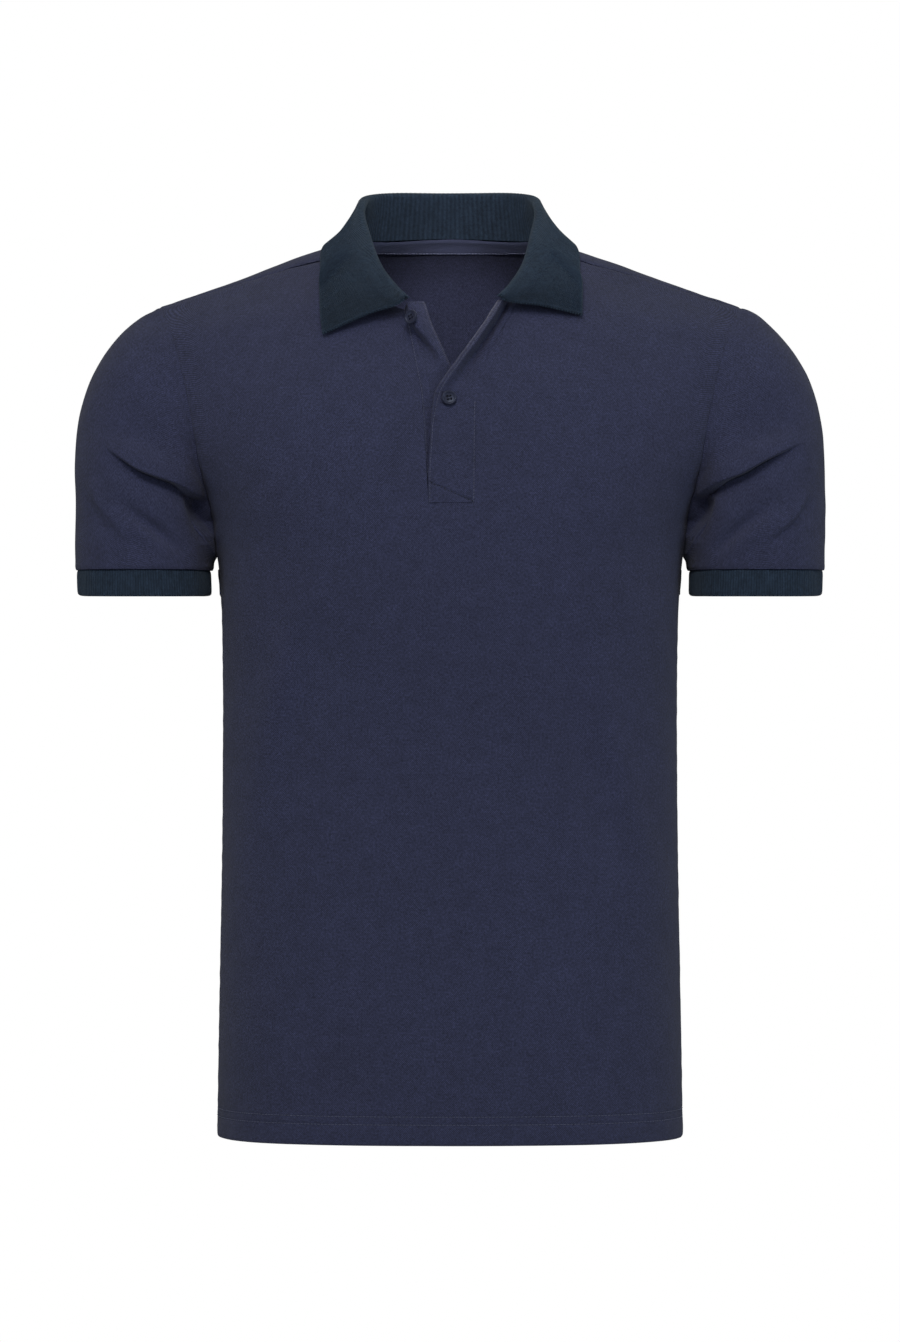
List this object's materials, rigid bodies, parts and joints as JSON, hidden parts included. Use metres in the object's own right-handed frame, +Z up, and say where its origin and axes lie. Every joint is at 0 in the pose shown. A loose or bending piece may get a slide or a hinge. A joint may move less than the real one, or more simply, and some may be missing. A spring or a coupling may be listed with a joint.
{
  "type": "polo shirt",
  "caption": "Short-sleeved polo shirt filled out with no wearer: rib collar and cuffs, open two-button placket, straight hem, hollow body.",
  "frame": {"origin": "on the centre line, between the high points of the shoulders, where the wearer's shoulders carry the shirt", "axes": "+Z up, -Y to the shirt's front, +X to the wearer's left"},
  "size_m": [0.5986, 0.2372, 0.758],
  "materials": {
    "pique": "matte cotton pique knit, dark navy",
    "rib": "matte rib knit, dark navy",
    "tape": "matte twill tape, navy",
    "button": "polished resin, dark navy"
  },
  "bodies": {
    "root": {"front": "pique", "back": "pique", "sleeve_left": "pique", "sleeve_right": "pique", "cuff_left": "rib", "cuff_right": "rib", "collar": "rib", "placket_top": "pique", "placket_under": "pique", "neck_tape": "tape", "button_top": "button", "button_second": "button"}
  },
  "joints": []
}
